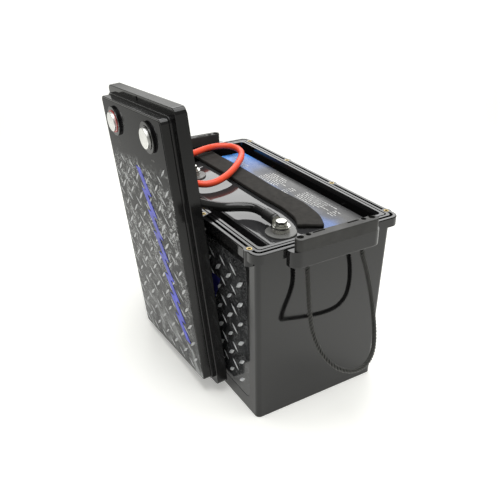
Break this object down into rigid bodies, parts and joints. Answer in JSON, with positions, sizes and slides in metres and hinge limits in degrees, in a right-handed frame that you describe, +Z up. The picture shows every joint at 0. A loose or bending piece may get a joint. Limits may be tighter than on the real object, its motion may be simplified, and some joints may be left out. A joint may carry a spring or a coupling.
{
  "type": "battery pack",
  "caption": "Open deep-cycle battery pack: deep black case with wrapped cells, its tread-plate printed lid stood in front, terminal cables, end brackets and a rope handle.",
  "frame": {"origin": "centre of the case's bottom face", "axes": "+X towards the end with the rope handle, -Y towards the lid that stands in front, +Z up"},
  "size_m": [0.3658, 0.2213, 0.3173],
  "materials": {
    "case_plastic": "glossy moulded black",
    "bracket_plastic": "matte moulded black",
    "case_print": "glossy print, silver tread-plate pattern",
    "lid_print": "glossy print, silver tread-plate pattern",
    "pack_print": "satin print, blue to grey",
    "wrap_plastic": "glossy black film",
    "foam": "matte closed-cell foam",
    "seal_rubber": "matte",
    "brass": "turned",
    "steel": "bright zinc plated",
    "lug_metal": "tinned",
    "terminal_metal": "satin",
    "cell_can": "film-covered cans",
    "board": "solder mask",
    "red_silicone": "soft satin",
    "black_silicone": "glossy",
    "sleeve_red": "shrunk tube",
    "sleeve_black": "shrunk tube",
    "collar_red": "moulded",
    "collar_black": "moulded",
    "rope": "braided cord"
  },
  "bodies": {
    "case": {"black_cable": "black_silicone", "board_heat_sink": "cell_can", "bracket_base_left": "case_plastic", "bracket_base_right": "case_plastic", "bracket_cap_left": "bracket_plastic", "bracket_cap_right": "bracket_plastic", "bracket_screws_left": "steel", "bracket_screws_right": "steel", "brass_inserts_back": "brass", "brass_inserts_front": "brass", "case_label_back": "case_print", "case_label_front": "case_print", "case_shell": "case_plastic", "cell_1": "cell_can", "cell_2": "cell_can", "cell_3": "cell_can", "cell_4": "cell_can", "cell_links": "lug_metal", "foam_bed": "foam", "foam_pad_front": "foam", "foam_pad_left": "foam", "foam_pad_right": "foam", "foam_strip": "foam", "pack_base_neg": "wrap_plastic", "pack_base_pos": "wrap_plastic", "pack_bolt_neg": "steel", "pack_bolt_pos": "steel", "pack_label": "pack_print", "pack_lug_neg": "lug_metal", "pack_lug_pos": "lug_metal", "pack_post_neg": "lug_metal", "pack_post_pos": "lug_metal", "pack_sleeve_neg": "sleeve_black", "pack_sleeve_pos": "sleeve_red", "pack_spring_washer_neg": "steel", "pack_spring_washer_pos": "steel", "pack_washer_neg": "steel", "pack_washer_pos": "steel", "pack_wrap": "wrap_plastic", "protection_board": "board", "red_cable": "red_silicone", "rope_stops": "lug_metal", "seal_cord": "seal_rubber", "top_sheet": "wrap_plastic"},
    "lid": {"lid_collar_neg": "collar_black", "lid_collar_pos": "collar_red", "lid_label": "lid_print", "lid_lug_neg": "lug_metal", "lid_lug_pos": "lug_metal", "lid_nut_neg": "steel", "lid_nut_pos": "steel", "lid_shell": "case_plastic", "lid_sleeve_neg": "sleeve_black", "lid_sleeve_pos": "sleeve_red", "lid_terminal_neg": "terminal_metal", "lid_terminal_pos": "terminal_metal"},
    "handle_right": {"rope_right": "rope"}
  },
  "joints": [
    {"name": "lid_tilt", "type": "hinge", "parent": "case", "child": "lid", "pos_m": [0, -0.0927, 0], "axis": [-1, 0, 0], "range_deg": [0, 1.2], "deforming": ["red_cable", "black_cable"]},
    {"name": "handle_right_swing", "type": "hinge", "parent": "case", "child": "handle_right", "pos_m": [0.158, 0, 0.179], "axis": [0, -1, 0], "range_deg": [-13, 90], "deforming": ["rope_right"]}
  ]
}
